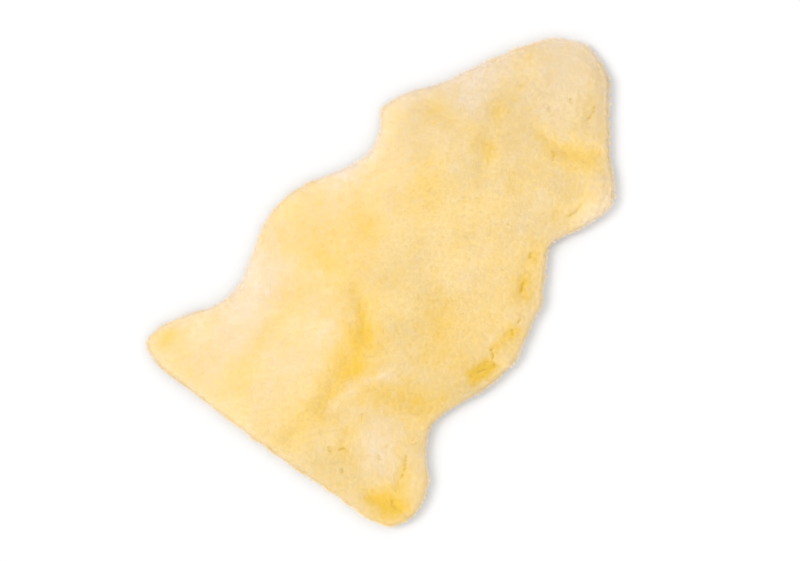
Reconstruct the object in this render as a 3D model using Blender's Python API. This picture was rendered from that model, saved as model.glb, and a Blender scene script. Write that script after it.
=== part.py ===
"""Lambskin rug: one whole lambskin, tanned and shorn to an even pile, lying flat with its wool side up.

Units are metres and +Z is up. The hide lies on the plane z = 0, with the origin under the middle of the skin.
+Y runs along the spine from the straight tail cut to the nape. +X is the right side, seen from above with the
nape at the top. Hide and wool are one natural piece, so they are one solid: a flat underside with the hide's cut
edge round it, then the wool, which spills past the hide and crowns over to a lumpy, parted top.
"""

import math

import bmesh
import bpy
from mathutils import Vector, geometry, noise

# The skin's size
HIDE_THICKNESS = 0.002
PILE_HEIGHT = 0.026
WOOL_TOP = HIDE_THICKNESS + PILE_HEIGHT

# How finely the solid is cut up
RIM_STEPS = 380
POINTS_PER_SPAN = 16
TOP_PITCH = 0.0145
TOP_CLEARANCE = 0.020

# The rim's locks and the top's lumps
LOCK_SPACING = 0.026
LOCK_SWELL = 0.0018
LUMP_SPACING = 0.042
LUMP_RISE = 0.0014
CROWN_REACH = 0.014
RELIEF_STARTS = 0.006
RELIEF_FULL = 0.030

WOOL_COLOUR = (0.95, 0.71, 0.33, 1.0)
HIDE_COLOUR = (0.90, 0.72, 0.45, 1.0)

# Points that the skin's outline passes through, counter-clockwise from above: (place, across, along)
LANDMARKS = (
    ("tail cut, left end", -0.246, -0.440),
    ("tail cut, left", -0.150, -0.445),
    ("tail cut, middle", 0.000, -0.449),
    ("tail cut, right", 0.140, -0.445),
    ("tail cut, right end", 0.228, -0.442),
    ("right heel", 0.266, -0.422),
    ("right shank", 0.279, -0.374),
    ("right hock", 0.264, -0.326),
    ("right thigh", 0.230, -0.284),
    ("right groin", 0.213, -0.246),
    ("right flank, low", 0.222, -0.205),
    ("right flank", 0.244, -0.156),
    ("right belly", 0.261, -0.100),
    ("right belly, widest", 0.265, -0.062),
    ("right belly, dent", 0.251, -0.006),
    ("right ribs", 0.246, 0.034),
    ("right ribs, high", 0.220, 0.080),
    ("right waist", 0.197, 0.126),
    ("right elbow", 0.211, 0.164),
    ("right forearm", 0.232, 0.205),
    ("right foreleg", 0.243, 0.243),
    ("right foreleg, tip", 0.229, 0.276),
    ("right shoulder", 0.188, 0.317),
    ("right neck", 0.143, 0.378),
    ("right nape", 0.106, 0.426),
    ("nape", 0.048, 0.449),
    ("left nape", -0.010, 0.431),
    ("left neck, high", -0.050, 0.382),
    ("left neck", -0.089, 0.321),
    ("left shoulder", -0.129, 0.246),
    ("left foreleg", -0.169, 0.194),
    ("left foreleg, tip", -0.185, 0.150),
    ("left elbow", -0.165, 0.112),
    ("left waist", -0.159, 0.076),
    ("left ribs", -0.175, 0.033),
    ("left belly, high", -0.212, -0.026),
    ("left belly", -0.232, -0.080),
    ("left belly, widest", -0.234, -0.132),
    ("left flank", -0.221, -0.186),
    ("left groin", -0.207, -0.243),
    ("left thigh", -0.218, -0.292),
    ("left hock", -0.254, -0.343),
    ("left shank", -0.275, -0.382),
    ("left heel", -0.277, -0.422),
)

# The section through the rim, from the underside up: (place, inset from the wool's reach, height, share of swell)
RIM_SECTION = (
    ("hide, underside", 0.0120, 0.0000, 0.0),
    ("hide, cut edge", 0.0120, HIDE_THICKNESS, 0.0),
    ("wool, under the spill", 0.0040, 0.0045, 0.6),
    ("wool, widest", 0.0000, 0.0115, 1.0),
    ("wool, shoulder", 0.0030, 0.0190, 1.0),
    ("wool, upper shoulder", 0.0085, 0.0237, 0.6),
)
HIDE_FACES = 1

# Broad swells of the pile: (place, across, along, radius across, radius along, rise)
MOUNDS = (
    ("nape", 0.040, 0.380, 0.070, 0.060, 0.0016),
    ("left neck", -0.065, 0.270, 0.050, 0.070, 0.0022),
    ("right foreleg", 0.205, 0.245, 0.040, 0.045, 0.0018),
    ("between the shoulders", 0.110, 0.165, 0.060, 0.080, 0.0016),
    ("left ribs", -0.120, 0.090, 0.050, 0.080, 0.0012),
    ("right belly", 0.110, -0.020, 0.090, 0.060, 0.0014),
    ("left groin", -0.165, -0.240, 0.050, 0.050, 0.0022),
    ("left rump", -0.050, -0.330, 0.055, 0.110, 0.0018),
    ("right hip", 0.120, -0.320, 0.070, 0.060, 0.0024),
)

# Places where the wool parts or lies down: (place, half width, depth, the points that it runs through)
PARTINGS = (
    ("spine", 0.015, 0.0046, ((-0.030, -0.130), (0.010, -0.165), (0.038, -0.200), (0.036, -0.270), (0.040, -0.320))),
    ("tail", 0.013, 0.0030, ((0.040, -0.320), (0.030, -0.370), (0.030, -0.415))),
    ("hip crease", 0.010, 0.0040, ((0.085, -0.195), (0.070, -0.225), (0.052, -0.255))),
    ("right thigh", 0.017, 0.0036, ((0.110, -0.240), (0.165, -0.225), (0.205, -0.195), (0.225, -0.155))),
    ("right belly rim", 0.010, 0.0050, ((0.219, -0.135), (0.227, -0.100), (0.222, -0.065), (0.228, -0.032))),
    ("right waist", 0.011, 0.0042, ((0.202, 0.032), (0.195, 0.062), (0.176, 0.095), (0.190, 0.135))),
    ("right elbow", 0.008, 0.0028, ((0.198, 0.192), (0.190, 0.220), (0.182, 0.248))),
    ("shoulder line", 0.012, 0.0036, ((0.060, 0.272), (0.095, 0.272), (0.130, 0.286), (0.160, 0.306))),
    ("left collar", 0.014, 0.0030, ((-0.135, 0.205), (-0.095, 0.205), (-0.045, 0.212), (-0.018, 0.262))),
    ("right collar", 0.015, 0.0032, ((-0.012, 0.250), (0.005, 0.200), (0.030, 0.160))),
    ("cheek dimple", 0.013, 0.0026, ((0.108, 0.368), (0.120, 0.342))),
    ("left heel dimple", 0.010, 0.0030, ((-0.252, -0.380), (-0.248, -0.400))),
    ("right heel", 0.015, 0.0042, ((0.190, -0.402), (0.225, -0.400), (0.248, -0.392))),
    ("right shank", 0.010, 0.0036, ((0.212, -0.318), (0.220, -0.345), (0.228, -0.368))),
    ("right hip", 0.010, 0.0026, ((0.097, -0.325), (0.108, -0.355), (0.112, -0.385))),
    ("left tail", 0.022, 0.0020, ((-0.118, -0.190), (-0.108, -0.290), (-0.102, -0.370))),
)


def clear_scene():
    """Removes what the scene starts with."""
    for old in list(bpy.data.objects):
        bpy.data.objects.remove(old)


def between(low, high, value):
    """0 below low, 1 above high, and a smooth rise from one to the other."""
    share = min(1.0, max(0.0, (value - low) / (high - low)))
    return share * share * (3.0 - 2.0 * share)


def span_point(before, start, end, after, share):
    """A point of the centripetal Catmull-Rom curve that runs from start to end."""
    first = (start - before).length ** 0.5
    second = first + (end - start).length ** 0.5
    third = second + (after - end).length ** 0.5
    here = first + (second - first) * share
    a = before.lerp(start, here / first)
    b = start.lerp(end, (here - first) / (second - first))
    c = end.lerp(after, (here - second) / (third - second))
    d = a.lerp(b, here / second)
    e = b.lerp(c, (here - first) / (third - first))
    return d.lerp(e, (here - first) / (second - first))


def smooth_outline():
    """The closed curve through the landmarks, as many close points."""
    marks = [Vector((across, along)) for _, across, along in LANDMARKS]
    points = []
    for i in range(len(marks)):
        four = [marks[(i + k) % len(marks)] for k in (-1, 0, 1, 2)]
        points += [span_point(*four, step / POINTS_PER_SPAN) for step in range(POINTS_PER_SPAN)]
    return points


def evenly_spaced(points, steps):
    """The same closed curve, read at equal distances along it."""
    ends = points[1:] + points[:1]
    lengths = [(b - a).length for a, b in zip(points, ends)]
    pitch = sum(lengths) / steps
    found, travelled, i = [], 0.0, 0
    for step in range(steps):
        while travelled + lengths[i] < step * pitch:
            travelled += lengths[i]
            i += 1
        found.append(points[i].lerp(ends[i], (step * pitch - travelled) / lengths[i]))
    return found


def inward_normals(outline):
    """The direction into the skin at each point of a counter-clockwise outline."""
    normals = []
    for i, _ in enumerate(outline):
        ahead = outline[(i + 1) % len(outline)] - outline[i - 1]
        normals.append(Vector((-ahead.y, ahead.x)).normalized())
    return normals


def lock_swell(point):
    """How far the rim's locks of wool push its reach out at this point."""
    spot = Vector((point.x, point.y, 0.0)) / LOCK_SPACING
    return LOCK_SWELL * noise.noise(spot)


def distance_to_path(point, path):
    """The shortest distance from a point to a broken line."""
    nearest = math.inf
    for start, end in zip(path, path[1:]):
        foot, share = geometry.intersect_point_line(point, start, end)
        foot = start if share < 0 else end if share > 1 else foot.xy
        nearest = min(nearest, (point - foot).length)
    return nearest


def relief(point):
    """The height that mounds, partings and lumps add to the pile at this point."""
    height = LUMP_RISE * noise.noise(Vector((point.x, point.y, 1.0)) / LUMP_SPACING)
    for _, across, along, radius_across, radius_along, rise in MOUNDS:
        off = ((point.x - across) / radius_across) ** 2 + ((point.y - along) / radius_along) ** 2
        height += rise * math.exp(-off)
    for _, half_width, depth, path in PARTINGS:
        off = distance_to_path(point, [Vector(spot) for spot in path]) / half_width
        height -= depth * math.exp(-off * off)
    return height


def top_height(point, from_edge):
    """The wool's height at a point this far inside its reach."""
    _, last_inset, last_height, _ = RIM_SECTION[-1]
    fall = (WOOL_TOP - last_height) * math.exp(-(from_edge - last_inset) / CROWN_REACH)
    return WOOL_TOP - fall + relief(point) * between(RELIEF_STARTS, RELIEF_FULL, from_edge)


def top_grid(outline):
    """Staggered rows of points over the top, clear of its rim: (point, distance from the reach)."""
    rows = round((max(p.y for p in outline) - min(p.y for p in outline)) / TOP_PITCH)
    columns = round((max(p.x for p in outline) - min(p.x for p in outline)) / TOP_PITCH)
    edges = outline + outline[:1]
    found = []
    for row in range(-rows // 2, rows // 2 + 1):
        for column in range(-columns // 2, columns // 2 + 1):
            spot = Vector(((column + 0.5 * (row % 2)) * TOP_PITCH, row * TOP_PITCH))
            inside = is_inside(spot, outline)
            from_edge = distance_to_path(spot, edges) if inside else 0.0
            if from_edge > TOP_CLEARANCE:
                found.append((spot, from_edge))
    return found


def is_inside(spot, outline):
    """True where a line to the right of the spot crosses the outline an odd number of times."""
    inside = False
    for a, b in zip(outline, outline[1:] + outline[:1]):
        if (a.y > spot.y) != (b.y > spot.y) and spot.x < a.x + (spot.y - a.y) / (b.y - a.y) * (b.x - a.x):
            inside = not inside
    return inside


def rim_rings(mesh, outline):
    """One ring of vertices for each row of the rim's section, the underside's first."""
    normals = inward_normals(outline)
    rings = []
    for _, inset, height, swell in RIM_SECTION:
        ring = []
        for point, inward in zip(outline, normals):
            place = point + inward * (inset - swell * lock_swell(point))
            ring.append(mesh.verts.new((place.x, place.y, height)))
        rings.append(ring)
    return rings


def bridge(mesh, lower, upper):
    """A band of quads from one ring up to the next."""
    faces = []
    for i, _ in enumerate(lower):
        faces.append(mesh.faces.new((lower[i - 1], lower[i], upper[i], upper[i - 1])))
    return faces


def close_top(mesh, ring, outline):
    """Fills the last ring with triangles over the grid of points, raised to the wool's height."""
    grid = top_grid(outline)
    flat = [vertex.co.xy for vertex in ring] + [spot for spot, _ in grid]
    rim = [(i, (i + 1) % len(ring)) for i in range(len(ring))]
    _, _, triangles, *_ = geometry.delaunay_2d_cdt(flat, rim, [], 1, 1e-7)
    raised = [mesh.verts.new((spot.x, spot.y, top_height(spot, from_edge))) for spot, from_edge in grid]
    vertices = ring + raised
    for triangle in triangles:
        mesh.faces.new([vertices[i] for i in triangle])


def finish(name, colour, roughness):
    """A plain Principled material in this colour."""
    material = bpy.data.materials.new(name)
    material.use_nodes = True
    shader = material.node_tree.nodes["Principled BSDF"]
    shader.inputs["Base Color"].default_value = colour
    shader.inputs["Roughness"].default_value = roughness
    shader.inputs["Metallic"].default_value = 0.0
    return material


def lambskin():
    """The whole skin as one closed solid, its hide faces in their own material."""
    outline = evenly_spaced(smooth_outline(), RIM_STEPS)
    mesh = bmesh.new()
    rings = rim_rings(mesh, outline)
    underside = mesh.faces.new(list(reversed(rings[0])))
    cut_edge = bridge(mesh, rings[0], rings[1])
    for lower, upper in zip(rings[1:], rings[2:]):
        bridge(mesh, lower, upper)
    close_top(mesh, rings[-1], outline)
    for face in [underside, *cut_edge]:
        face.material_index = HIDE_FACES
    bmesh.ops.recalc_face_normals(mesh, faces=mesh.faces)
    data = bpy.data.meshes.new("lambskin")
    mesh.to_mesh(data)
    mesh.free()
    data.materials.append(finish("shorn wool", WOOL_COLOUR, 0.95))
    data.materials.append(finish("tanned hide", HIDE_COLOUR, 0.85))
    data.shade_smooth()
    data.set_sharp_from_angle(angle=math.radians(50))
    skin = bpy.data.objects.new("lambskin", data)
    bpy.context.scene.collection.objects.link(skin)


clear_scene()
lambskin()
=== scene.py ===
import math

import bmesh
import bpy
import numpy as np
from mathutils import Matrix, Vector
from mathutils.bvhtree import BVHTree
from mathutils.geometry import delaunay_2d_cdt
from mathutils.kdtree import KDTree


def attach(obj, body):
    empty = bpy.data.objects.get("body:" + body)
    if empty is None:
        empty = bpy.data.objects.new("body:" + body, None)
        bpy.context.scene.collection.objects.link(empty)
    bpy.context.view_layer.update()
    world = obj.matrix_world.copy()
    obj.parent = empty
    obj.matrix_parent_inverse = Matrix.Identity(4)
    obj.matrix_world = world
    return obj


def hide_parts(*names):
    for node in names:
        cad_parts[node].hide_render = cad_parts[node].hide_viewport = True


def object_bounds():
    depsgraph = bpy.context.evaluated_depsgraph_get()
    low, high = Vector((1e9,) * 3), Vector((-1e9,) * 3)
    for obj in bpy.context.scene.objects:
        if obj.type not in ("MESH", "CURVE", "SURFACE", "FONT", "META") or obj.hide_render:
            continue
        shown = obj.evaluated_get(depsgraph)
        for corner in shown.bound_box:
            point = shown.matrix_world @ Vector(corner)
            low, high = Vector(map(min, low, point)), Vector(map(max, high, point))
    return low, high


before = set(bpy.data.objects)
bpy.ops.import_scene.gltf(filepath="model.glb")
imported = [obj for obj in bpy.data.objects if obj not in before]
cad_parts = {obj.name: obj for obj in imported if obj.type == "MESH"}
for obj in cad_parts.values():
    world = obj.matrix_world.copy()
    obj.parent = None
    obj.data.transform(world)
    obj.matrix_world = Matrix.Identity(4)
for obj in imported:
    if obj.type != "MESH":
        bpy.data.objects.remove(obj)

cad_low, cad_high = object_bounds()

# A whole shorn lambskin lying flat, wool side up. +Y runs along the spine from the tail to the nape.
# Its pieces are the tanned hide, the dense undercoat that fills the pile, and the locks of wool on that.
# Lengths are in metres, angles in radians, and colours linear.
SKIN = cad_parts["lambskin"]

HIDE_THICKNESS = 0.0020
HIDE_PITCH = 0.011  # between the points of the hide's face
HIDE_ROWS = 0.87  # between its rows of points, against the pitch
HIDE_CLEAR = 0.6  # how far its inner points keep from the cut edge, against the pitch
FACES_DOWN = -0.99  # a face that looks down as squarely as this
ON_THE_GROUND = 0.0001  # and lies as low as this is the hide's underside
WOOL_STARTS = 0.0023

UPRIGHT_BY = 1.5  # a face counts as fully upright a little before it is
UNDERCOAT_CELL = 0.0035
UNDERCOAT_DEPTH = 0.0015  # below the wool's reach on the top
RIM_DEPTH = 0.0048  # and on an upright side
UNDERSIDE = (-0.9, 0.6)  # facing down past the first it isn't drawn in, and within the second it is in full
BARE_BELOW = -0.85  # no wool grows where it faces down more than this

# The wool stands in tufts: each rises to its middle and leans in to it.
TUFT_SPACING = 0.0085
TUFT_FLATTEN = 0.45  # height counts for less than width, so tufts on a side are taller than wide
DOME = 0.0008  # how much lower a tuft's edge is than its middle
RIM_DOME = 0.0022  # and at the rim
UNDER_DOME = 0.0015  # and this much more where the side turns under
GATHER = 0.12  # how far the tips draw in to the middle of their tuft
RIM_GATHER = 0.50
GATHER_UNEVEN = (0.6, 1.1)
TINT_OF_TUFT = 0.06  # how unlike two neighbouring tufts are

LOCK_SPACING = 0.00112
CROWDING = 3  # how many more places are tried than have room
LOCK_RADIUS = 0.00058
RIM_RADIUS = 0.00085
RADIUS_UNEVEN = (0.75, 1.25)
LOCK_BURIED = 0.0006
LOCK_LENGTHS = (0.6, 2.6)  # the least and the most, against the undercoat's depth there
SHORTEST_LOCK = 0.0006
LONGEST_LOCK = 0.03
TIP_SCATTER = 0.00025
SHORN_UNEVEN = 0.0002
RIM_DROOP = 0.22  # how far the rim's locks hang, for each unit that they reach out
RIM_LONGER = 0.0017
RIM_SWELL = (0.036, 0.0014)  # the size and height of the rim's unevenness
WISPS = 0.05  # share of the locks that stand out thin and long
RIM_WISPS = 0.14
WISP_LONGER = 0.0018
WISP_ASTRAY = 0.4  # how far a wisp turns from the locks about it
WISP_RADIUS = 0.6  # against a lock's own
SOFTNESS = 0.90  # how far shading follows the pile as a whole and not each lock's own sides
RIM_SOFTNESS = 0.55
UPRIGHT = 1.20  # and how far it turns up to the light, as fine wool does
RIM_UPRIGHT = 2.20
LEAST_FACING = 0.05  # shading faces the way of a lock's own side by at least this
FLOOR_GAP = 0.0003  # the floor is this far under the hide, and no lock reaches nearer the ground

RELIEF_PITCH = 0.004
RELIEF_MARGIN = 0.02
RELIEF_BLUR = 0.022
SLOPE_BLUR = 1.2  # in steps of the pitch
LOWEST_TOP = 0.012  # anything lower is the rim or the ground
LEAST_TOP_NEAR = 0.05  # no average is taken over a smaller share of top than this
HOLLOW_DEPTH = 0.0030
HOLLOW_RANGE = (-0.5, 1.2)  # how far a mound or a hollow counts, against that depth

# Smooth uneven fields are sums of waves, which run every way and differ in length.
WAVES = 24
WAVE_PACES = (0.55, 1.25)
WAVES_SUM = 1.6  # brings their sum to about -1 to 1

# Seeds, so that each run gives the same wool.
MARKS_SEEDS = (61, 62)
PARTINGS_SEED = 21
NAP_SEEDS = (11, 13)
SWELL_SEED = 17
TUFTS_SEED = 31
TUFT_TINTS_SEED = 32
ROOTS_SEED = 41
LOCKS_SEED = 50

# The lengths of wool along the back, from the tail to the nape. The locks of each are one piece.
BANDS = ("rump", "loin", "ribs", "shoulders", "neck")

# Where the wool is paler or yellower, partly its own colour and partly painted highlight and shade of its
# pile:
# (place, half width, change, points in plan).
# A change above nought is paler, and one below is a fuller yellow.
TINTS_AND_PAINTED_LIGHT = (
    ("nape", 0.050, 0.29, ((-0.010, 0.400), (0.060, 0.400), (0.055, 0.335))),
    ("left neck", 0.036, 0.38, ((-0.085, 0.290), (-0.060, 0.225))),
    ("left shoulder rim", 0.022, 0.16, ((-0.150, 0.200), (-0.135, 0.240))),
    ("right foreleg", 0.026, 0.32, ((0.225, 0.215), (0.225, 0.252))),
    ("right shoulder", 0.026, 0.16, ((0.130, 0.205), (0.142, 0.145))),
    ("left armpit", 0.013, 0.18, ((-0.174, 0.160), (-0.165, 0.170))),
    ("left waist", 0.021, 0.54, ((-0.172, 0.082), (-0.182, 0.020))),
    ("left groin", 0.034, 0.40, ((-0.178, -0.205), (-0.165, -0.285))),
    ("left rump", 0.034, 0.16, ((-0.060, -0.230), (-0.040, -0.345))),
    ("left shank", 0.030, 0.15, ((-0.235, -0.365), (-0.135, -0.345))),
    ("right rump", 0.036, 0.32, ((0.150, -0.320), (0.190, -0.360))),
    # painted highlight along the hip ridge
    ("hip ridge", 0.008, 0.27, ((0.050, -0.318), (0.056, -0.285), (0.064, -0.254), (0.090, -0.222))),
    ("cheek dimple", 0.016, -0.10, ((0.112, 0.372), (0.114, 0.345))),
    ("shoulder line", 0.015, -0.35, ((0.068, 0.276), (0.100, 0.262), (0.162, 0.288))),
    ("behind the shoulder", 0.018, -0.12, ((0.105, 0.222), (0.140, 0.215))),
    ("foreleg crease", 0.012, -0.16, ((0.197, 0.240), (0.172, 0.172))),
    ("mane", 0.016, -0.17, ((-0.029, 0.378), (-0.014, 0.325), (-0.016, 0.280))),
    ("throat", 0.014, -0.22, ((-0.022, 0.262), (-0.008, 0.250))),
    ("collar", 0.020, -0.32, ((-0.105, 0.204), (-0.048, 0.214))),
    ("collar spot", 0.015, -0.38, ((0.000, 0.198), (0.012, 0.200))),
    ("withers", 0.022, -0.18, ((-0.026, 0.110), (-0.044, 0.050))),
    ("left belly", 0.034, -0.25, ((-0.095, -0.050), (-0.085, -0.115))),
    ("left flank", 0.030, -0.16, ((-0.205, -0.085), (-0.155, -0.110))),
    ("left tail streak", 0.018, -0.19, ((-0.118, -0.200), (-0.112, -0.280), (-0.110, -0.370))),
    ("ribs", 0.026, 0.08, ((0.095, -0.005), (0.100, -0.030))),
    ("right flank", 0.028, -0.22, ((0.100, -0.075), (0.160, -0.125))),
    ("right belly rim", 0.010, -0.86, ((0.219, -0.128), (0.227, -0.108))),
    ("upper belly rim", 0.009, -0.48, ((0.226, -0.040), (0.230, -0.030))),
    ("belly rim crack", 0.007, -0.26, ((0.217, -0.072), (0.222, -0.060))),
    ("right waist", 0.014, -0.28, ((0.174, 0.108), (0.182, 0.092))),
    ("below the waist", 0.012, -0.30, ((0.194, 0.050), (0.202, 0.032))),
    ("right thigh", 0.021, -0.28, ((0.094, -0.258), (0.135, -0.243), (0.195, -0.215))),
    ("rump parting", 0.025, -0.27, ((-0.012, -0.146), (0.020, -0.190))),
    ("spine", 0.022, -0.36, ((0.026, -0.190), (0.028, -0.235))),
    ("lower spine", 0.020, -0.29, ((0.028, -0.264), (0.028, -0.316))),
    ("tail parting", 0.020, -0.20, ((0.030, -0.355), (0.020, -0.405))),
    # painted shadow of the crease beside the hip ridge
    ("hip crease", 0.009, -0.10, ((0.043, -0.300), (0.053, -0.248), (0.082, -0.210))),
    ("right of the tail", 0.018, -0.12, ((0.105, -0.340), (0.110, -0.370))),
    ("right heel", 0.020, -0.67, ((0.216, -0.397), (0.238, -0.395))),
    ("right tail rim", 0.011, -0.30, ((0.214, -0.332), (0.222, -0.360))),
    ("above the left heel", 0.020, -0.07, ((-0.205, -0.385), (-0.185, -0.365))),
    ("left heel", 0.014, -0.42, ((-0.256, -0.392), (-0.248, -0.378))),
)
MARKS_STRAY = (0.026, 0.0045)  # how far apart their edges' bends are, and how deep
BROAD_MARK = 0.020  # a narrower mark strays less, by its width
TINT_MEAN = 0.61  # from 0, a full yellow, to 1, cream
TINT_ACROSS = -0.38  # for each metre to the right
TINT_ALONG = 0.10  # for each metre towards the nape
# yellower at the bottom of a hollow, partly the deeper wool's own colour and partly painted shade
HOLLOW_TINT_AND_SHADE = -0.10  # in the bottom of a parting
# paler on an upright side, partly the uncombed tips' own colour and partly painted light that lifts the
# rim's shading
RIM_TINT_AND_LIGHT = 0.44  # on an upright side
TINT_ROUND_EDGE = 0.18  # where the top rolls over to the side
EDGE_BAND = (0.003, 0.008)  # how far outside the hide's cut edge that is, and its half width
TINT_OF_LOCK = 0.02  # how unlike two neighbouring locks are
TINT_OF_TIP = 0.25  # how much paler a lock's tip is than its root
RIM_TINT_OF_TIP = 0.55
# painted shade: at the rim a lock is darker at its root, down among the others
PAINTED_ROOT_SHADE = -0.12  # how much darker a lock's root is at the rim
# in a parting the wool is yellower, partly the deeper wool's own colour and partly painted shade, and
# darker by painted shade
PARTING_TINT_AND_SHADE = -0.45
PAINTED_PARTING_SHADE = -0.10
MOTTLES = ((0.070, 0.055), (0.028, 0.050), (0.011, 0.045))  # (size, change)
MOTTLE_STRETCH = 0.55  # they are longer along the spine

# Where the wool looks lighter or darker, partly by the lie of its pile and partly as painted light and
# shade of the light falling on it, such as a brighter hip ridge, darker rims and a darker neck: (place,
# half width, change, points in plan).
PAINTED_SHADES = (
    ("neck", 0.110, -0.058, ((0.000, 0.340), (0.040, 0.420))),
    ("cheek", 0.020, -0.03, ((0.115, 0.400), (0.120, 0.345))),
    ("back", 0.060, -0.05, ((-0.040, 0.215), (0.000, 0.150), (-0.010, 0.000))),
    ("left shoulder", 0.034, -0.05, ((-0.130, 0.170), (-0.115, 0.225))),
    ("right waist", 0.026, -0.02, ((0.170, 0.105), (0.190, 0.060))),
    ("right foreleg", 0.026, 0.04, ((0.230, 0.240), (0.215, 0.220))),
    ("left neck", 0.034, 0.02, ((-0.085, 0.290), (-0.060, 0.225))),
    ("shoulder line", 0.026, 0.025, ((0.070, 0.280), (0.120, 0.270))),
    ("middle of the back", 0.036, 0.02, ((-0.010, 0.010), (0.010, -0.010))),
    ("right ribs", 0.034, 0.03, ((0.150, 0.065), (0.158, 0.030))),
    ("right belly", 0.034, 0.025, ((0.145, -0.110), (0.165, -0.085))),
    ("right heel rim", 0.020, -0.04, ((0.262, -0.408), (0.250, -0.384))),
    ("right groin rim", 0.018, -0.07, ((0.224, -0.168), (0.237, -0.134))),
    ("saddle", 0.024, -0.035, ((-0.018, -0.020), (0.008, -0.135))),
    ("parting", 0.018, 0.015, ((0.012, -0.188), (0.015, -0.240))),
    ("belly rim spot", 0.008, -0.02, ((0.219, -0.126), (0.227, -0.110))),
    ("loin", 0.040, -0.05, ((0.020, -0.070), (0.050, -0.115))),
    ("left rump", 0.100, 0.04, ((-0.050, -0.180), (-0.130, -0.330))),
    ("right rump", 0.050, 0.045, ((0.180, -0.350), (0.235, -0.385))),
    # painted highlight along the hip ridge
    ("hip ridge", 0.007, 0.045, ((0.050, -0.318), (0.056, -0.285), (0.064, -0.254), (0.090, -0.222))),
    ("tail", 0.050, -0.05, ((0.040, -0.420), (0.160, -0.420))),
)
# painted shade: the wool darkens towards the right, away from the lamp
PAINTED_FALLOFF_ACROSS = -0.03  # for each metre to the right
# painted light on the upright sides, lifting their shading, with more of it towards the right, away from
# the lamp
PAINTED_RIM_LIGHT = 0.17  # on an upright side
PAINTED_RIM_LIGHT_ACROSS = 0.50  # for each metre to the right

# Short lines where the pile has opened: (place, points in plan).
PARTINGS = (
    ("belly rim", ((0.214, -0.078), (0.224, -0.084), (0.228, -0.092))),
    ("belly rim end", ((0.232, -0.094), (0.237, -0.099))),
    ("belly rim spot", ((0.220, -0.124), (0.226, -0.113))),
    ("belly", ((0.224, -0.006), (0.226, -0.014))),
    ("belly spot", ((0.225, -0.030), (0.231, -0.036))),
    ("heel", ((0.229, -0.390), (0.236, -0.397), (0.243, -0.398))),
    ("shank", ((0.203, -0.312), (0.214, -0.330), (0.220, -0.348))),
    ("rump", ((0.164, -0.341), (0.172, -0.346))),
    ("hip", ((0.100, -0.300), (0.107, -0.308))),
    ("tail", ((0.086, -0.380), (0.094, -0.383))),
    ("beside the tail", ((0.104, -0.372), (0.108, -0.366), (0.116, -0.368))),
    ("right of the tail", ((0.126, -0.396), (0.132, -0.402))),
    ("cheek", ((0.113, 0.366), (0.119, 0.356), (0.118, 0.344))),
    ("neck", ((0.071, 0.353), (0.078, 0.347))),
    ("throat", ((0.049, 0.319), (0.056, 0.313))),
    ("foreleg", ((0.188, 0.186), (0.194, 0.200), (0.193, 0.214))),
    ("shoulder", ((0.098, 0.262), (0.106, 0.258), (0.110, 0.249))),
    ("waist", ((0.173, 0.098), (0.178, 0.088))),
    ("below the waist", ((0.193, 0.046), (0.198, 0.034))),
)
PARTING_HALF = 0.0012
PARTING_DEPTH = 0.0024
SMALL_PARTINGS = 44  # and this many more, short and shallow, most of them on the right
SMALL_PARTING_LENGTH = 0.007
SMALL_PARTING_SHARE = 0.30
SMALL_PARTING_PLACES = (0.3, 0.98)  # how far out from the middle of the skin to its edge
SMALL_PARTING_BEND = 0.5
ON_THE_RIGHT = 0.7

# Which way the wool was last brushed: (place, half width, slope of the pile along the ground, points).
NAPS = (
    ("neck", 0.090, (-0.10, -0.30), ((0.040, 0.420), (0.020, 0.300))),
    ("left side", 0.090, (-0.34, -0.16), ((-0.110, 0.180), (-0.150, -0.080))),
    ("right side", 0.090, (0.34, -0.10), ((0.150, 0.200), (0.170, -0.090))),
    ("left rump", 0.100, (-0.18, -0.36), ((-0.130, -0.200), (-0.160, -0.380))),
    ("right rump", 0.100, (0.26, -0.26), ((0.130, -0.240), (0.180, -0.380))),
)
NAP_ALL_OVER = (0.0, -0.10)
NAP_SWIRLS = ((0.090, 0.09), (0.030, 0.02))  # (size, slope)
NAP_STRENGTH = 3.4
NAP_UPHILL = 1.5  # how far the tips lean up a slope of the top

WOOL_DEEP = (0.925, 0.62, 0.095)
WOOL_MIDDLE = (0.93, 0.705, 0.315)
WOOL_PALE = (0.912, 0.783, 0.645)
SUEDE_DARK = (0.62, 0.44, 0.24)
SUEDE_LIGHT = (0.80, 0.64, 0.42)
FLOOR_COLOUR = (0.82, 0.82, 0.82)
MIDDLE_TINT = 0.6  # the tint at which the wool has its middle colour
PALEST_TINT = 1.5
WOOL_ROUGH = 0.9
WOOL_SPECULAR = 0.2
WOOL_SHEEN = 0.25
WOOL_SHEEN_ROUGH = 0.5
UNDERCOAT_SHEEN = 0.10
UNDERCOAT_NAP = (700, 0.0003)  # fibres a metre, and their depth
SUEDE_NAP = (1400, 0.0002)
SUEDE_SPECULAR = 0.25
SUEDE_SHEEN = 0.15
SUEDE_CLOUDS = 14  # a metre
NAP_COMBED = (1.0, 0.35, 1.0)  # fibres are longer along the spine
NAP_CLOUDS = 60  # a metre
NAP_BUMP = 0.6

# The colours' UV map holds these ranges of tint and shade, with a lock's width this broad on it.
MAP_TINTS = (-0.4, 1.6)
MAP_SHADES = (0.6, 1.4)
MAP_WIDTH = 0.002
MAP_EDGE = 0.01

# The camera looks straight down on the skin, which lies aslant in the picture.
TURN = math.radians(35.91)
PICTURE_RIGHT = Vector((math.cos(TURN), math.sin(TURN), 0))
PICTURE_UP = Vector((-math.sin(TURN), math.cos(TURN), 0))
PICTURE_CENTRE = Vector((0.0174, -0.0739, 0.0115))
PICTURE_WIDTH = 1.388
LENS = 85
SENSOR = 36

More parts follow.
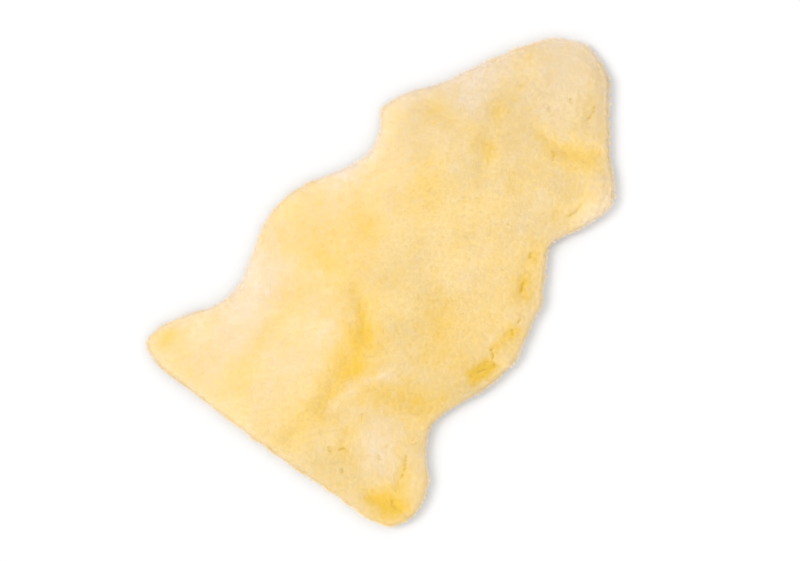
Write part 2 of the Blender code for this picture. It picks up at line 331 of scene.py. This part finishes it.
FLOOR_SIZE = 8.0
FLOOR_ROUGH = 0.9
WORLD_LIGHT = 1.015
LAMP_PLACE = PICTURE_UP * 0.35 - PICTURE_RIGHT * 1.5 + Vector((0, 0, 1.70))
LAMP_LIGHT = 1.08
LAMP_BREADTH = math.radians(26)


# Helpers

def lone(obj):
    """Makes obj the only selected object, and the active one."""
    bpy.ops.object.select_all(action="DESELECT")
    obj.select_set(True)
    bpy.context.view_layer.objects.active = obj


def apply_all(obj):
    """Applies the object's modifiers in their order."""
    lone(obj)
    for modifier in list(obj.modifiers):
        bpy.ops.object.modifier_apply(modifier=modifier.name)


def copy_of(obj, name):
    """A separate copy of an object and its mesh."""
    copy = obj.copy()
    copy.data = obj.data.copy()
    copy.name = name
    copy.data.name = name
    copy.parent = None
    copy.data.materials.clear()
    for key in list(copy.keys()):
        del copy[key]
    bpy.context.scene.collection.objects.link(copy)
    return copy


def skin_copy(name):
    """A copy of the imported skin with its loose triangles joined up."""
    copy = copy_of(SKIN, name)
    lone(copy)
    bpy.ops.object.mode_set(mode="EDIT")
    bpy.ops.mesh.select_all(action="SELECT")
    bpy.ops.mesh.remove_doubles(threshold=0.00001)
    bpy.ops.object.mode_set(mode="OBJECT")
    return copy


def throw_away(obj):
    """Removes an object and its mesh."""
    mesh = obj.data
    bpy.data.objects.remove(obj)
    bpy.data.meshes.remove(mesh)


def new_piece(name, points, faces):
    """A smooth shaded mesh object of these points and faces, at the origin."""
    mesh = bpy.data.meshes.new(name)
    mesh.from_pydata(points, [], faces)
    mesh.update()
    mesh.polygons.foreach_set("use_smooth", np.ones(len(mesh.polygons), bool))
    piece = bpy.data.objects.new(name, mesh)
    bpy.context.scene.collection.objects.link(piece)
    return piece


def rows_of(items, name, wide=3):
    """One row of numbers for each point, face or corner of a mesh."""
    found = np.empty(len(items) * wide, np.float32)
    items.foreach_get(name, found)
    return found.reshape(-1, wide).astype(float)


def put_number(mesh, name, values):
    """Stores a number at each point of a mesh, for its material to read."""
    attribute = mesh.attributes.new(name, "FLOAT", "POINT")
    attribute.data.foreach_set("value", np.asarray(values, np.float32))


def unit(vectors):
    """The same directions, each 1 long."""
    return vectors / np.maximum(np.linalg.norm(vectors, axis=1, keepdims=True), 1e-9)


def blend(low, high, share):
    """From low at a share of 0 to high at 1."""
    return low + (high - low) * share


def distance_to_path(places, path):
    """Distance in plan from each place to a path of straight runs."""
    nearest = np.full(len(places), np.inf)
    for start, end in zip(path[:-1], path[1:]):
        start = np.array(start)
        run = np.array(end) - start
        share = np.clip((places - start) @ run / (run @ run), 0, 1)
        nearest = np.minimum(nearest, np.linalg.norm(places - start - share[:, None] * run, axis=1))
    return nearest


def near(places, path, half_width):
    """How much a soft-edged path covers each place, from 0 to 1."""
    return np.exp(-0.5 * (distance_to_path(places, path) / half_width) ** 2)


def waves(places, size, seed):
    """A smooth, uneven field over the plan, about -1 to 1, whose swells are about this size."""
    picks = np.random.default_rng(seed)
    total = np.zeros(len(places))
    for _ in range(WAVES):
        turn = picks.uniform(0, math.tau)
        pace = math.tau / size * picks.uniform(*WAVE_PACES)
        slant = places[:, 0] * math.cos(turn) + places[:, 1] * math.sin(turn)
        total += np.sin(slant * pace + picks.uniform(0, math.tau))
    return total / math.sqrt(WAVES / 2) / WAVES_SUM


# The relief of the wool's top

def blurred(values, radius):
    """A grid of values, blurred by a bell of this radius in cells."""
    steps = np.arange(-3 * radius, 3 * radius + 1)
    bell = np.exp(-0.5 * (steps / radius) ** 2)
    for axis in (0, 1):
        values = np.apply_along_axis(np.convolve, axis, values, bell / bell.sum(), mode="same")
    return values


class Field:
    """Values on an even grid over the plan, read between its points."""

    def __init__(self, values, low):
        self.values = values
        self.low = low

    def at(self, places):
        """The value at each place, blended from the four points of its cell."""
        spot = np.clip((places - self.low) / RELIEF_PITCH, 0, np.array(self.values.shape) - 1.001)
        cell = np.floor(spot).astype(int)
        i, j = cell.T
        a, b = (spot - cell).T
        v = self.values
        lower = v[i, j] * (1 - a) + v[i + 1, j] * a
        upper = v[i, j + 1] * (1 - a) + v[i + 1, j + 1] * a
        return lower * (1 - b) + upper * b


def read_relief(reach):
    """How far the wool's top stands above its average round about, and its slopes across and along."""
    low = np.array(cad_low[:2]) - RELIEF_MARGIN
    size = ((np.array(cad_high[:2]) + RELIEF_MARGIN - low) / RELIEF_PITCH).astype(int)
    heights = np.zeros(size)
    for i in range(size[0]):
        for j in range(size[1]):
            x, y = low + np.array((i, j)) * RELIEF_PITCH
            hit = reach.ray_cast(Vector((x, y, 0.1)), Vector((0, 0, -1)))
            heights[i, j] = hit[0].z if hit[0] else 0.0
    inside = (heights > LOWEST_TOP).astype(float)
    radius = RELIEF_BLUR / RELIEF_PITCH
    share = np.maximum(blurred(inside, radius), LEAST_TOP_NEAR)
    relief = (heights - blurred(heights * inside, radius) / share) * inside
    slope = np.gradient(blurred(relief, SLOPE_BLUR), RELIEF_PITCH)
    return Field(relief, low), Field(slope[0], low), Field(slope[1], low)


def wander(places):
    """How far the edges of the soft marks stray at each place, so that none is smooth."""
    size, stray = MARKS_STRAY
    return stray * np.stack([waves(places, size, seed) for seed in MARKS_SEEDS], axis=1)


def rolls_over(places):
    """How near each place is to where the wool's top rolls over to its side, from 0 to 1."""
    away = distance_to_path(places, [*edge, edge[0]])
    outside = np.where(inside_edge(places, edge), -away, away)
    middle, half_width = EDGE_BAND
    return np.exp(-0.5 * ((outside - middle) / half_width) ** 2)


def tint_of(points, steep):
    """How pale the wool is at each point, from 0, full yellow, to 1, cream, with painted highlight and
    shade in it.
    """
    places = points[:, :2]
    tint = TINT_MEAN + TINT_ACROSS * places[:, 0] + TINT_ALONG * places[:, 1]
    stray = wander(places)
    for _, half_width, change, path in TINTS_AND_PAINTED_LIGHT:
        bent = places + stray * min(1, half_width / BROAD_MARK)
        tint += change * near(bent, path, half_width)
    for seed, (size, change) in enumerate(MOTTLES):
        tint += change * waves(places * (1, MOTTLE_STRETCH), size, seed)
    hollow = np.clip(-relief.at(places) / HOLLOW_DEPTH, *HOLLOW_RANGE)
    return tint + HOLLOW_TINT_AND_SHADE * hollow + RIM_TINT_AND_LIGHT * steep + TINT_ROUND_EDGE * rolls_over(places)


def painted_shade_of(points, steep):
    """How light or dark the pile is painted at each point, against its average: painted light and shade,
    and partly the lie of its pile.
    """
    places = points[:, :2]
    of_rim = PAINTED_RIM_LIGHT + PAINTED_RIM_LIGHT_ACROSS * places[:, 0]
    shade = 1 + PAINTED_FALLOFF_ACROSS * places[:, 0] + of_rim * steep
    for _, half_width, change, path in PAINTED_SHADES:
        shade += change * near(places, path, half_width)
    return shade


def small_partings():
    """Short crooked lines scattered over the pile."""
    picks = np.random.default_rng(PARTINGS_SEED)
    starts = picks.choice(edge, SMALL_PARTINGS)
    starts *= picks.uniform(*SMALL_PARTING_PLACES, (SMALL_PARTINGS, 1))
    to_right = picks.random(SMALL_PARTINGS) < ON_THE_RIGHT
    starts[:, 0] = np.where(to_right, np.abs(starts[:, 0]), starts[:, 0])
    turns = picks.uniform(0, math.tau, SMALL_PARTINGS)
    step = SMALL_PARTING_LENGTH / 2
    paths = []
    for start, turn in zip(starts, turns):
        path = [start]
        for bend in picks.normal(0, SMALL_PARTING_BEND, 2):
            path.append(path[-1] + (step * math.cos(turn + bend), step * math.sin(turn + bend)))
        paths.append(path)
    return paths


def parting_of(places):
    """How open the pile is at each place, from 0 to 1."""
    opened = np.zeros(len(places))
    for _, path in PARTINGS:
        opened = np.maximum(opened, near(places, path, PARTING_HALF))
    for path in small_partings():
        opened = np.maximum(opened, SMALL_PARTING_SHARE * near(places, path, PARTING_HALF))
    return opened


def lean_of(places):
    """How far the pile leans along the ground at each place, for each unit that it stands up."""
    lean = np.tile(np.array(NAP_ALL_OVER), (len(places), 1))
    for _, half_width, slope, path in NAPS:
        lean += near(places, path, half_width)[:, None] * np.array(slope)
    for number, (size, slope) in enumerate(NAP_SWIRLS):
        for axis, seed in enumerate(NAP_SEEDS):
            lean[:, axis] += slope * waves(places, size, seed + number)
    uphill = np.stack([uphill_x.at(places), uphill_y.at(places)], axis=1)
    return NAP_STRENGTH * lean + NAP_UPHILL * uphill


# The hide

def cut_edge(skin):
    """The cut edge of the hide on the ground, as points in order round the skin, counterclockwise."""
    bm = bmesh.new()
    bm.from_mesh(skin.data)
    following = {}
    for face in bm.faces:
        if face.normal.z < FACES_DOWN and face.calc_center_median().z < ON_THE_GROUND:
            for loop in face.loops:
                if loop.link_loop_radial_next.face.normal.z > FACES_DOWN:
                    following[loop.link_loop_next.vert.index] = loop.vert.index
    bm.verts.ensure_lookup_table()
    start = next(iter(following))
    ring = [start]
    while following[ring[-1]] != start:
        ring.append(following[ring[-1]])
    edge = np.array([bm.verts[i].co.to_2d() for i in ring])
    bm.free()
    return edge


def inside_edge(places, edge):
    """Which places in plan lie inside the closed edge."""
    crossings = np.zeros(len(places), int)
    for a, b in zip(edge, np.roll(edge, -1, axis=0)):
        if a[1] == b[1]:
            continue
        spans = (a[1] > places[:, 1]) != (b[1] > places[:, 1])
        at = a[0] + (places[:, 1] - a[1]) * (b[0] - a[0]) / (b[1] - a[1])
        crossings += spans & (places[:, 0] < at)
    return crossings % 2 == 1


def make_hide(edge):
    """The tanned hide: a flat sheet with the skin's own cut edge, even in its faces and 2 mm thick."""
    low = edge.min(0)
    high = edge.max(0)
    across = np.arange(low[0], high[0], HIDE_PITCH)
    along = np.arange(low[1], high[1], HIDE_PITCH * HIDE_ROWS)
    grid = np.array([(x + (j % 2) * HIDE_PITCH / 2, y) for j, y in enumerate(along) for x in across])
    clear = distance_to_path(grid, [*edge, edge[0]]) > HIDE_PITCH * HIDE_CLEAR
    places = [Vector(p) for p in [*edge, *grid[clear & inside_edge(grid, edge)]]]
    flat, _, faces, _, _, _ = delaunay_2d_cdt(places, [], [list(range(len(edge)))], 1, 1e-7)
    hide = new_piece("hide", [(p.x, p.y, HIDE_THICKNESS) for p in flat], [list(f) for f in faces])
    wall = hide.modifiers.new("thickness", "SOLIDIFY")
    wall.thickness = HIDE_THICKNESS
    wall.offset = -1
    apply_all(hide)
    return hide


# The undercoat

def upright(normals):
    """How upright the surface stands, from 0 on the level top to 1 on a side or below it."""
    return np.clip(UPRIGHT_BY * (1 - normals[:, 2]), 0, 1)


def make_wool_body():
    """The skin's own form above the hide, in small even faces."""
    coat = skin_copy("undercoat")
    bpy.ops.object.mode_set(mode="EDIT")
    bpy.ops.mesh.select_all(action="SELECT")
    bpy.ops.mesh.bisect(plane_co=(0, 0, WOOL_STARTS), plane_no=(0, 0, 1), use_fill=True, clear_inner=True)
    bpy.ops.object.mode_set(mode="OBJECT")
    even = coat.modifiers.new("even", "REMESH")
    even.mode = "VOXEL"
    even.voxel_size = UNDERCOAT_CELL
    apply_all(coat)
    return coat


def flattened(places):
    """The places as the tufts count them, with less height."""
    return places * (1, 1, TUFT_FLATTEN)


def nearest_tuft(places):
    """Which tuft each place belongs to, and how far out in it: 0 at its middle, 1 at its edge."""
    own = np.empty(len(places), int)
    far = np.empty(len(places))
    for i, place in enumerate(flattened(places)):
        (_, own[i], first), (_, _, second) = tufts.find_n(place, 2)
        far[i] = 2 * first / (first + second)
    return own, far


def dip_of(places, normals, far):
    """How far below the wool's full reach it ends at each place, between tufts and in partings."""
    steep = upright(normals)
    under = np.clip(-normals[:, 2], 0, 1)
    depth = blend(DOME, RIM_DOME, steep) + UNDER_DOME * under
    return depth * far ** 3 + PARTING_DEPTH * parting_of(places[:, :2]) * (1 - steep)


def draw_in(coat):
    """Draws the undercoat in under the wool's tips, and tufts it."""
    points = rows_of(coat.data.vertices, "co")
    normals = rows_of(coat.data.vertices, "normal")
    steep = upright(normals)
    _, far = nearest_tuft(points)
    inset = blend(UNDERCOAT_DEPTH, RIM_DEPTH, steep) + dip_of(points, normals, far)
    bottom, soon = UNDERSIDE
    inset *= np.clip((normals[:, 2] - bottom) / soon, 0, 1)
    points -= normals * inset[:, None]
    points[:, 2] = np.maximum(points[:, 2], WOOL_STARTS)
    coat.data.vertices.foreach_set("co", points.astype(np.float32).ravel())
    coat.data.update()
    lone(coat)
    bpy.ops.object.shade_smooth()
    # painted shade: darker at the rim's roots and in the partings
    opened = parting_of(points[:, :2])
    shade = painted_shade_of(points, steep) + PAINTED_ROOT_SHADE * steep
    put_number(coat.data, "tint", tint_of(points, steep) + PARTING_TINT_AND_SHADE * opened)
    put_number(coat.data, "shade", shade + PAINTED_PARTING_SHADE * opened)


def spread_roots(coat, spacing, seed):
    """Places all over the undercoat but for its underside, none nearer to another than the spacing."""
    group = bpy.data.node_groups.new("spread roots", "GeometryNodeTree")
    group.interface.new_socket("Geometry", in_out="INPUT", socket_type="NodeSocketGeometry")
    group.interface.new_socket("Geometry", in_out="OUTPUT", socket_type="NodeSocketGeometry")
    nodes = group.nodes
    links = group.links
    given = nodes.new("NodeGroupInput")
    made = nodes.new("NodeGroupOutput")
    facing = nodes.new("GeometryNodeInputNormal")
    parts = nodes.new("ShaderNodeSeparateXYZ")
    open_to_air = nodes.new("ShaderNodeMath")
    open_to_air.operation = "GREATER_THAN"
    open_to_air.inputs[1].default_value = BARE_BELOW
    spread = nodes.new("GeometryNodeDistributePointsOnFaces")
    spread.distribute_method = "POISSON"
    spread.inputs["Distance Min"].default_value = spacing
    spread.inputs["Density Max"].default_value = CROWDING / spacing ** 2
    spread.inputs["Seed"].default_value = seed
    as_points = nodes.new("GeometryNodePointsToVertices")
    links.new(facing.outputs["Normal"], parts.inputs["Vector"])
    links.new(parts.outputs["Z"], open_to_air.inputs[0])
    links.new(open_to_air.outputs[0], spread.inputs["Selection"])
    links.new(given.outputs["Geometry"], spread.inputs["Mesh"])
    links.new(spread.outputs["Points"], as_points.inputs["Points"])
    links.new(as_points.outputs["Mesh"], made.inputs["Geometry"])
    roots = copy_of(coat, "roots")
    roots.modifiers.new("spread", "NODES").node_group = group
    apply_all(roots)
    places = rows_of(roots.data.vertices, "co")
    throw_away(roots)
    return places


# The locks

def lock_shape():
    """One lock, 1 high and 1 in radius: three sides that narrow to a tip. Its points and its triangles."""
    bpy.ops.object.select_all(action="DESELECT")
    bpy.ops.mesh.primitive_cone_add(vertices=3, radius1=1, radius2=0, depth=1, location=(0, 0, 0.5))
    lock = bpy.context.object
    bpy.ops.object.transform_apply(location=True)
    bpy.ops.object.mode_set(mode="EDIT")
    bpy.ops.mesh.select_all(action="SELECT")
    bpy.ops.mesh.normals_make_consistent(inside=False)
    bpy.ops.object.mode_set(mode="OBJECT")
    points = rows_of(lock.data.vertices, "co")
    faces = np.array([tuple(face.vertices) for face in lock.data.polygons])
    throw_away(lock)
    return points, faces


def growth_of(roots):
    """For each root, which way its wool grows, how far it reaches, and which way is out of the pile."""
    out = unit(np.array([reach.find_nearest(Vector(p))[0] - Vector(p) for p in roots]))
    steep = upright(out)
    way = out.copy()
    way[:, :2] += lean_of(roots[:, :2]) * (1 - steep[:, None])
    way[:, 2] -= RIM_DROOP * steep
    way = unit(way)
    depth = blend(UNDERCOAT_DEPTH, RIM_DEPTH, steep)
    lengths = depth.copy()
    for i, (root, to) in enumerate(zip(roots, way)):
        hit = reach.ray_cast(Vector(root), Vector(to), LONGEST_LOCK)
        if hit[0]:
            lengths[i] = hit[3]
    least, most = LOCK_LENGTHS
    return way, np.clip(lengths, depth * least, depth * most), out


def soft_normals(mesh, out, corners):
    """Normals that follow the pile as a whole, none of them turned from its own face."""
    own = np.repeat(rows_of(mesh.polygons, "normal"), corners, axis=0)
    round_lock = rows_of(mesh.corner_normals, "vector")
    steep = upright(out)[:, None]
    softness = blend(SOFTNESS, RIM_SOFTNESS, steep)
    soft = softness * out + (1 - softness) * round_lock
    soft = unit(soft + (0, 0, 1) * blend(UPRIGHT, RIM_UPRIGHT, steep))
    away = np.minimum((soft * own).sum(1, keepdims=True) - LEAST_FACING, 0)
    return unit(soft - away * own)


def grow(roots, own_tuft, far, picks):
    """For each root, its lock's start and tip, if it is a wisp, its way, and the way out of the pile."""
    way, lengths, out = growth_of(roots)
    steep = upright(out)
    count = len(roots)
    size, swell = RIM_SWELL
    lengths += (RIM_LONGER + swell * waves(roots[:, :2], size, SWELL_SEED)) * steep
    lengths += picks.normal(0, SHORN_UNEVEN, count) - dip_of(roots, out, far)
    tips = roots + way * np.maximum(lengths, SHORTEST_LOCK)[:, None]
    tips += picks.normal(0, TIP_SCATTER, tips.shape)
    inward = tuft_middles[own_tuft] - roots
    inward -= (inward * out).sum(1, keepdims=True) * out
    inward[:, 2] *= 1 - steep
    gather = blend(GATHER, RIM_GATHER, steep) * picks.uniform(*GATHER_UNEVEN, count)
    tips += inward * gather[:, None]
    wisp = picks.random((count, 1)) < blend(WISPS, RIM_WISPS, steep)[:, None]
    longer = wisp * WISP_LONGER * picks.random((count, 1))
    tips += longer * unit(way + picks.normal(0, WISP_ASTRAY, way.shape))
    return roots - way * LOCK_BURIED, tips, wisp, way, out


def shape_locks(starts, tips, wisp, way, steep, picks):
    """The points of every lock: the one shape, stretched from its start to its tip."""
    count = len(starts)
    side = unit(np.cross(way, picks.normal(0, 1, (count, 3))))
    over = np.cross(way, side)
    radius = blend(LOCK_RADIUS, RIM_RADIUS, steep)[:, None] * picks.uniform(*RADIUS_UNEVEN, (count, 1))
    radius *= np.where(wisp, WISP_RADIUS, 1.0)
    points = np.empty((count, len(SHAPE), 3))
    for k, (across, up, share) in enumerate(SHAPE):
        points[:, k] = starts + (tips - starts) * share + radius * (across * side + up * over)
    points[:, :, 2] = np.maximum(points[:, :, 2], FLOOR_GAP)
    return points


def colour_locks(mesh, roots, steep, own_tuft, picks):
    """Gives every lock its tint and its painted light and shade, which change from its root to its tip."""
    count = len(roots)
    corners = len(SHAPE)
    up_lock = np.tile(SHAPE[:, 2], count)
    opened = parting_of(roots[:, :2])
    of_tip = blend(TINT_OF_TIP, RIM_TINT_OF_TIP, steep)
    tint = tint_of(roots, steep) + tuft_tints[own_tuft] + picks.normal(0, TINT_OF_LOCK, count)
    tint += PARTING_TINT_AND_SHADE * opened + TINT_OF_TIP - of_tip
    tint = np.repeat(tint, corners) + up_lock * np.repeat(of_tip, corners)
    shade = np.repeat(painted_shade_of(roots, steep) + PAINTED_PARTING_SHADE * opened, corners)
    shade += PAINTED_ROOT_SHADE * np.repeat(steep, corners) * (1 - up_lock)
    put_number(mesh, "tint", tint)
    put_number(mesh, "shade", shade)
    add_colour_map(mesh, tint, shade, np.tile(SHAPE[:, 0], count))


def make_locks(name, roots, seed):
    """Locks of wool on these roots, drawn in to the middles of their tufts."""
    picks = np.random.default_rng(seed)
    own_tuft, far = nearest_tuft(roots)
    starts, tips, wisp, way, out = grow(roots, own_tuft, far, picks)
    steep = upright(out)
    points = shape_locks(starts, tips, wisp, way, steep, picks)
    first = np.arange(len(roots))[:, None, None] * len(SHAPE)
    piece = new_piece(name, points.reshape(-1, 3), (first + SIDES).reshape(-1, 3))
    lock_of_corner = np.repeat(np.arange(len(roots)), SIDES.size)
    normals = soft_normals(piece.data, out[lock_of_corner], SIDES.shape[1])
    piece.data.normals_split_custom_set(normals)
    colour_locks(piece.data, roots, steep, own_tuft, picks)
    return piece


def add_colour_map(mesh, tint, shade, spread):
    """A UV map on which each lock lies by its colour: tint across, shade upwards, and a little width."""
    layer = mesh.uv_layers.new(name="OFBake", do_init=False)
    across = (tint - MAP_TINTS[0]) / (MAP_TINTS[1] - MAP_TINTS[0])
    upwards = (shade - MAP_SHADES[0]) / (MAP_SHADES[1] - MAP_SHADES[0]) + MAP_WIDTH * spread
    place = np.clip(np.stack([across, upwards], axis=1), MAP_EDGE, 1 - MAP_EDGE)
    corner = np.empty(len(mesh.loops), np.int32)
    mesh.loops.foreach_get("vertex_index", corner)
    layer.uv.foreach_set("vector", place[corner].astype(np.float32).ravel())


# Materials

def new_material(name):
    """An empty node material, its nodes, links and shader."""
    material = bpy.data.materials.new(name)
    material.use_nodes = True
    nodes = material.node_tree.nodes
    links = material.node_tree.links
    nodes.clear()
    shader = nodes.new("ShaderNodeBsdfPrincipled")
    output = nodes.new("ShaderNodeOutputMaterial")
    links.new(shader.outputs["BSDF"], output.inputs["Surface"])
    return material, nodes, links, shader


def new_group(name, inputs, outputs):
    """A shader node group with these (name, kind, default) inputs and (name, kind) outputs."""
    group = bpy.data.node_groups.new(name, "ShaderNodeTree")
    for label, kind, default in inputs:
        group.interface.new_socket(label, in_out="INPUT", socket_type=kind).default_value = default
    for label, kind in outputs:
        group.interface.new_socket(label, in_out="OUTPUT", socket_type=kind)
    given = group.nodes.new("NodeGroupInput")
    made = group.nodes.new("NodeGroupOutput")
    return group, group.nodes, group.links, given, made


def wool_colour_group():
    """Turns how pale the wool is, and the light and shade painted on it, into its colour."""
    number = "NodeSocketFloat"
    colour = "NodeSocketColor"
    inputs = (
        ("Tint", number, 0.5),
        ("Shade", number, 1.0),
        ("Deep", colour, (*WOOL_DEEP, 1)),
        ("Middle", colour, (*WOOL_MIDDLE, 1)),
        ("Pale", colour, (*WOOL_PALE, 1)),
    )
    group, nodes, links, given, made = new_group("wool colour", inputs, (("Color", colour),))
    lower = nodes.new("ShaderNodeMapRange")
    lower.inputs["From Max"].default_value = MIDDLE_TINT
    upper = nodes.new("ShaderNodeMapRange")
    upper.inputs["From Min"].default_value = MIDDLE_TINT
    upper.inputs["From Max"].default_value = PALEST_TINT
    first = nodes.new("ShaderNodeMix")
    first.data_type = "RGBA"
    second = nodes.new("ShaderNodeMix")
    second.data_type = "RGBA"
    shaded = nodes.new("ShaderNodeVectorMath")
    shaded.operation = "SCALE"
    links.new(given.outputs["Tint"], lower.inputs["Value"])
    links.new(given.outputs["Tint"], upper.inputs["Value"])
    links.new(lower.outputs["Result"], first.inputs["Factor"])
    links.new(given.outputs["Deep"], first.inputs["A"])
    links.new(given.outputs["Middle"], first.inputs["B"])
    links.new(upper.outputs["Result"], second.inputs["Factor"])
    links.new(first.outputs["Result"], second.inputs["A"])
    links.new(given.outputs["Pale"], second.inputs["B"])
    links.new(second.outputs["Result"], shaded.inputs[0])
    links.new(given.outputs["Shade"], shaded.inputs["Scale"])
    links.new(shaded.outputs["Vector"], made.inputs["Color"])
    return group


def nap_group():
    """Fine fibres laid one way: a height for a bump, and a roughness that changes with it."""
    number = "NodeSocketFloat"
    inputs = (
        ("Fibres a Metre", number, 900.0),
        ("Least Rough", number, 0.8),
        ("Most Rough", number, 0.95),
    )
    outputs = (("Height", number), ("Roughness", number))
    group, nodes, links, given, made = new_group("fibre nap", inputs, outputs)
    place = nodes.new("ShaderNodeTexCoord")
    combed = nodes.new("ShaderNodeMapping")
    combed.inputs["Scale"].default_value = NAP_COMBED
    fibres = nodes.new("ShaderNodeTexNoise")
    fibres.inputs["Detail"].default_value = 4
    clouds = nodes.new("ShaderNodeTexNoise")
    clouds.inputs["Scale"].default_value = NAP_CLOUDS
    clouds.inputs["Detail"].default_value = 3
    rough = nodes.new("ShaderNodeMapRange")
    links.new(place.outputs["Object"], combed.inputs["Vector"])
    links.new(combed.outputs["Vector"], fibres.inputs["Vector"])
    links.new(given.outputs["Fibres a Metre"], fibres.inputs["Scale"])
    links.new(place.outputs["Object"], clouds.inputs["Vector"])
    links.new(clouds.outputs["Fac"], rough.inputs["Value"])
    links.new(given.outputs["Least Rough"], rough.inputs["To Min"])
    links.new(given.outputs["Most Rough"], rough.inputs["To Max"])
    links.new(fibres.outputs["Fac"], made.inputs["Height"])
    links.new(rough.outputs["Result"], made.inputs["Roughness"])
    return group


def add_nap(nodes, links, shader, fibres, depth):
    """Gives a shader the fibre nap as its bump and roughness."""
    nap = nodes.new("ShaderNodeGroup")
    nap.node_tree = NAP
    nap.inputs["Fibres a Metre"].default_value = fibres
    bump = nodes.new("ShaderNodeBump")
    bump.inputs["Strength"].default_value = NAP_BUMP
    bump.inputs["Distance"].default_value = depth
    links.new(nap.outputs["Height"], bump.inputs["Height"])
    links.new(bump.outputs["Normal"], shader.inputs["Normal"])
    links.new(nap.outputs["Roughness"], shader.inputs["Roughness"])


def wool_material(name, sheen):
    """Wool: matt and soft, with the colour of its tint and its painted light and shade."""
    material, nodes, links, shader = new_material(name)
    colour = nodes.new("ShaderNodeGroup")
    colour.node_tree = WOOL
    for socket, attribute in (("Tint", "tint"), ("Shade", "shade")):
        reader = nodes.new("ShaderNodeAttribute")
        reader.attribute_name = attribute
        links.new(reader.outputs["Fac"], colour.inputs[socket])
    links.new(colour.outputs["Color"], shader.inputs["Base Color"])
    shader.inputs["Roughness"].default_value = WOOL_ROUGH
    shader.inputs["Specular IOR Level"].default_value = WOOL_SPECULAR
    shader.inputs["Sheen Weight"].default_value = sheen
    shader.inputs["Sheen Roughness"].default_value = WOOL_SHEEN_ROUGH
    return material, nodes, links, shader


def undercoat_material():
    """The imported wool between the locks, with a fine nap of its own."""
    material, nodes, links, shader = wool_material("undercoat wool", UNDERCOAT_SHEEN)
    add_nap(nodes, links, shader, *UNDERCOAT_NAP)
    return material


def suede_material():
    """The hide's flesh side: napped suede with soft clouds of tone."""
    material, nodes, links, shader = new_material("tanned suede")
    place = nodes.new("ShaderNodeTexCoord")
    clouds = nodes.new("ShaderNodeTexNoise")
    clouds.inputs["Scale"].default_value = SUEDE_CLOUDS
    clouds.inputs["Detail"].default_value = 8
    tone = nodes.new("ShaderNodeMix")
    tone.data_type = "RGBA"
    tone.inputs["A"].default_value = (*SUEDE_DARK, 1)
    tone.inputs["B"].default_value = (*SUEDE_LIGHT, 1)
    links.new(place.outputs["Object"], clouds.inputs["Vector"])
    links.new(clouds.outputs["Fac"], tone.inputs["Factor"])
    links.new(tone.outputs["Result"], shader.inputs["Base Color"])
    shader.inputs["Specular IOR Level"].default_value = SUEDE_SPECULAR
    shader.inputs["Sheen Weight"].default_value = SUEDE_SHEEN
    add_nap(nodes, links, shader, *SUEDE_NAP)
    return material


# The stage

def make_stage():
    """A pale floor, a broad soft lamp up to the left of the picture, and even light all round."""
    bpy.ops.mesh.primitive_plane_add(size=FLOOR_SIZE, location=(0, 0, -FLOOR_GAP))
    floor = bpy.context.object
    floor.name = "floor"
    material, _, _, shader = new_material("pale floor")
    shader.inputs["Base Color"].default_value = (*FLOOR_COLOUR, 1)
    shader.inputs["Roughness"].default_value = FLOOR_ROUGH
    floor.data.materials.append(material)

    world = bpy.data.worlds.new("studio")
    world.use_nodes = True
    backdrop = world.node_tree.nodes["Background"]
    backdrop.inputs["Color"].default_value = (1, 1, 1, 1)
    backdrop.inputs["Strength"].default_value = WORLD_LIGHT
    bpy.context.scene.world = world

    bpy.ops.object.light_add(type="SUN", location=LAMP_PLACE)
    lamp = bpy.context.object
    lamp.name = "soft lamp"
    lamp.data.energy = LAMP_LIGHT
    lamp.data.angle = LAMP_BREADTH
    lamp.rotation_euler = (-LAMP_PLACE).to_track_quat("-Z", "Y").to_euler()


def make_camera():
    """Straight above the skin, which lies turned in the picture."""
    bpy.ops.object.camera_add()
    camera = bpy.context.object
    camera.name = "camera"
    camera.data.lens = LENS
    camera.data.sensor_width = SENSOR
    camera.location = PICTURE_CENTRE + Vector((0, 0, PICTURE_WIDTH * LENS / SENSOR))
    camera.rotation_euler = (0, 0, TURN)
    bpy.context.scene.camera = camera


# The rug

bpy.ops.object.select_all(action="DESELECT")
bpy.context.scene.view_settings.view_transform = "Standard"
make_camera()
make_stage()

whole_skin = skin_copy("whole skin")
reach = BVHTree.FromObject(whole_skin, bpy.context.evaluated_depsgraph_get())
edge = cut_edge(whole_skin)
throw_away(whole_skin)
relief, uphill_x, uphill_y = read_relief(reach)

WOOL = wool_colour_group()
NAP = nap_group()
SHAPE, SIDES = lock_shape()

hide = make_hide(edge)
hide.data.materials.append(suede_material())
undercoat = make_wool_body()
tuft_middles = spread_roots(undercoat, TUFT_SPACING, TUFTS_SEED)
tuft_tints = np.random.default_rng(TUFT_TINTS_SEED).normal(0, TINT_OF_TUFT, len(tuft_middles))
tufts = KDTree(len(tuft_middles))
for number, place in enumerate(flattened(tuft_middles)):
    tufts.insert(place, number)
tufts.balance()
draw_in(undercoat)

roots = spread_roots(undercoat, LOCK_SPACING, ROOTS_SEED)
limits = np.quantile(roots[:, 1], np.linspace(0, 1, len(BANDS) + 1))
limits[0] = -1  # the rearmost root is in the first length too
locks = []
lock_wool, _, _, _ = wool_material("wool locks", WOOL_SHEEN)
for k, band in enumerate(BANDS):
    here = roots[(roots[:, 1] > limits[k]) & (roots[:, 1] <= limits[k + 1])]
    piece = make_locks("locks_" + band, here, LOCKS_SEED + k)
    piece.data.materials.append(lock_wool)
    locks.append(piece)
undercoat.data.materials.append(undercoat_material())

for piece in [hide, undercoat, *locks]:
    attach(piece, "root")
    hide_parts("lambskin")
